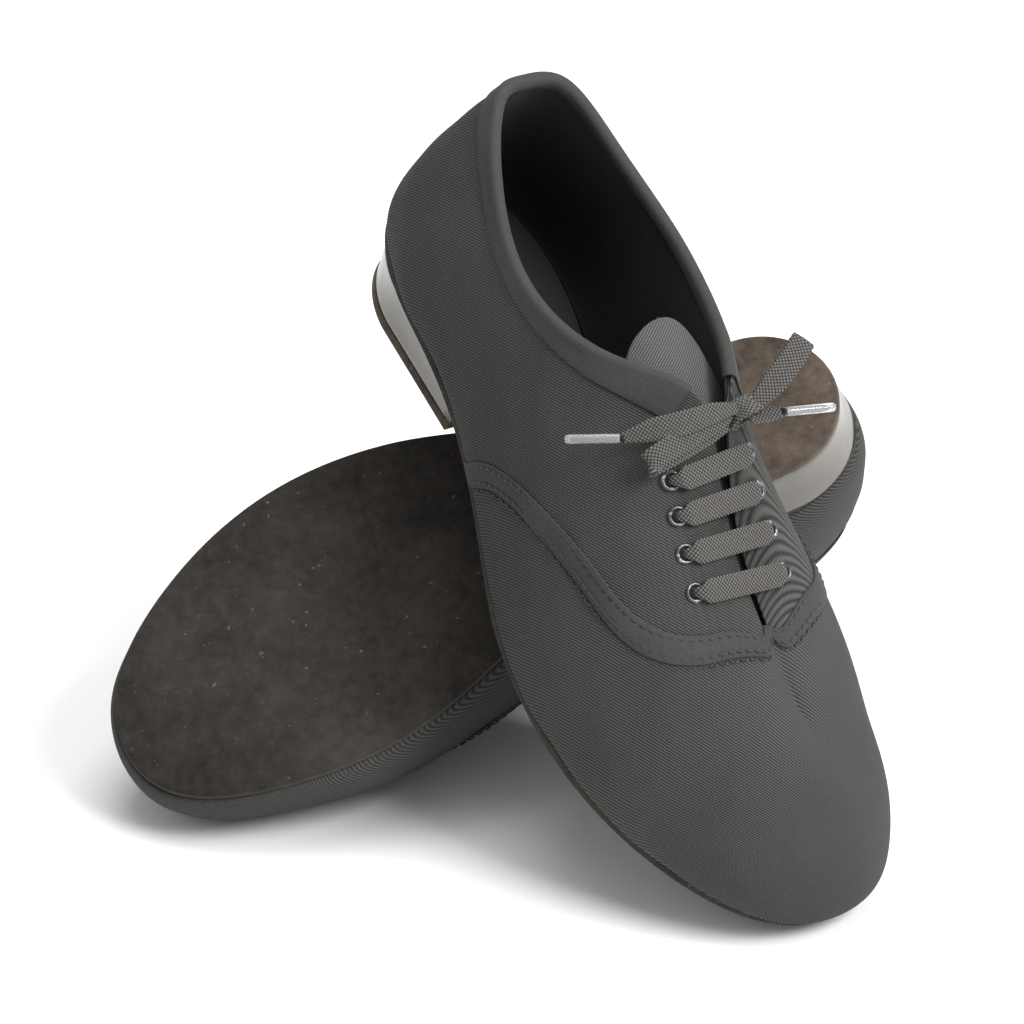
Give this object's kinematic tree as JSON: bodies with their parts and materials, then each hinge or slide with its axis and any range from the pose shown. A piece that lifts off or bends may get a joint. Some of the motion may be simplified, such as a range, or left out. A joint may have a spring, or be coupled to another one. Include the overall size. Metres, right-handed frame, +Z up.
{
  "type": "pair of lace-up dance shoes",
  "caption": "Pair of men's canvas lace-up dance shoes with low heels and suede soles, one lying sole up and the other leaning across it.",
  "frame": {"origin": "middle of the pair's footprint on the ground it lies on", "axes": "+Z up, +X to the right along the longest side of the pair, +Y away from the front"},
  "size_m": [0.2639, 0.2401, 0.2412],
  "materials": {
    "sole_suede": "napped suede, dark brown",
    "heel_suede": "scuffed brown suede",
    "heel_gloss": "glossy pale grey lacquer",
    "steel": "plain",
    "board": "fibre board, matt",
    "cork": "cork paste, matt",
    "sock": "textile covered foam",
    "canvas": "charcoal twill canvas",
    "lining": "dark textile",
    "stiffener": "matt",
    "binding": "charcoal tape",
    "eyelet_metal": "black enamel with a bright worn rim",
    "lace": "flat woven cotton",
    "clear_tip": "clear"
  },
  "bodies": {
    "left_shoe_body": {"left_outsole": "sole_suede", "left_heel_block": "heel_gloss", "left_heel_top_piece": "heel_suede", "left_heel_nails": "steel", "left_insole_board": "board", "left_shank": "steel", "left_forepart_filler": "cork", "left_sock_liner": "sock", "left_vamp": "canvas", "left_quarter_outer": "canvas", "left_quarter_inner": "canvas", "left_vamp_lining": "lining", "left_quarter_lining": "lining", "left_heel_counter": "stiffener", "left_toe_puff": "stiffener", "left_topline_binding": "binding", "left_vamp_band": "binding", "left_facing_stays": "stiffener", "left_eyelets": "eyelet_metal", "left_lace": "lace", "left_lace_knot": "lace", "left_bow_outer": "lace", "left_bow_inner": "lace", "left_aglet_outer": "clear_tip", "left_aglet_inner": "clear_tip"},
    "right_shoe_body": {"right_outsole": "sole_suede", "right_heel_block": "heel_gloss", "right_heel_top_piece": "heel_suede", "right_heel_nails": "steel", "right_insole_board": "board", "right_shank": "steel", "right_forepart_filler": "cork", "right_sock_liner": "sock", "right_vamp": "canvas", "right_quarter_outer": "canvas", "right_quarter_inner": "canvas", "right_vamp_lining": "lining", "right_quarter_lining": "lining", "right_heel_counter": "stiffener", "right_toe_puff": "stiffener", "right_topline_binding": "binding", "right_vamp_band": "binding", "right_facing_stays": "stiffener", "right_eyelets": "eyelet_metal", "right_lace": "lace", "right_lace_knot": "lace", "right_bow_outer": "lace", "right_bow_inner": "lace", "right_aglet_outer": "clear_tip", "right_aglet_inner": "clear_tip"},
    "left_tongue_flap": {"left_tongue": "canvas"},
    "right_tongue_flap": {"right_tongue": "canvas"}
  },
  "joints": [
    {"name": "right_shoe_lift", "type": "slide", "parent": "left_shoe_body", "child": "right_shoe_body", "axis": [0, 0, 1], "range_m": [0, 0.15]},
    {"name": "left_tongue_hinge", "type": "hinge", "parent": "left_shoe_body", "child": "left_tongue_flap", "pos_m": [-0.04624, 0.01603, 0.01893], "axis": [0.4747, -0.7342, -0.4855], "range_deg": [0, 12], "stiffness_Nm_per_rad": 0.25, "springref_deg": -6.88},
    {"name": "right_tongue_hinge", "type": "hinge", "parent": "right_shoe_body", "child": "right_tongue_flap", "pos_m": [0.08361, -0.06754, 0.09263], "axis": [-0.7564, -0.6482, 0.0878], "range_deg": [0, 12], "stiffness_Nm_per_rad": 0.25, "springref_deg": -6.88}
  ]
}
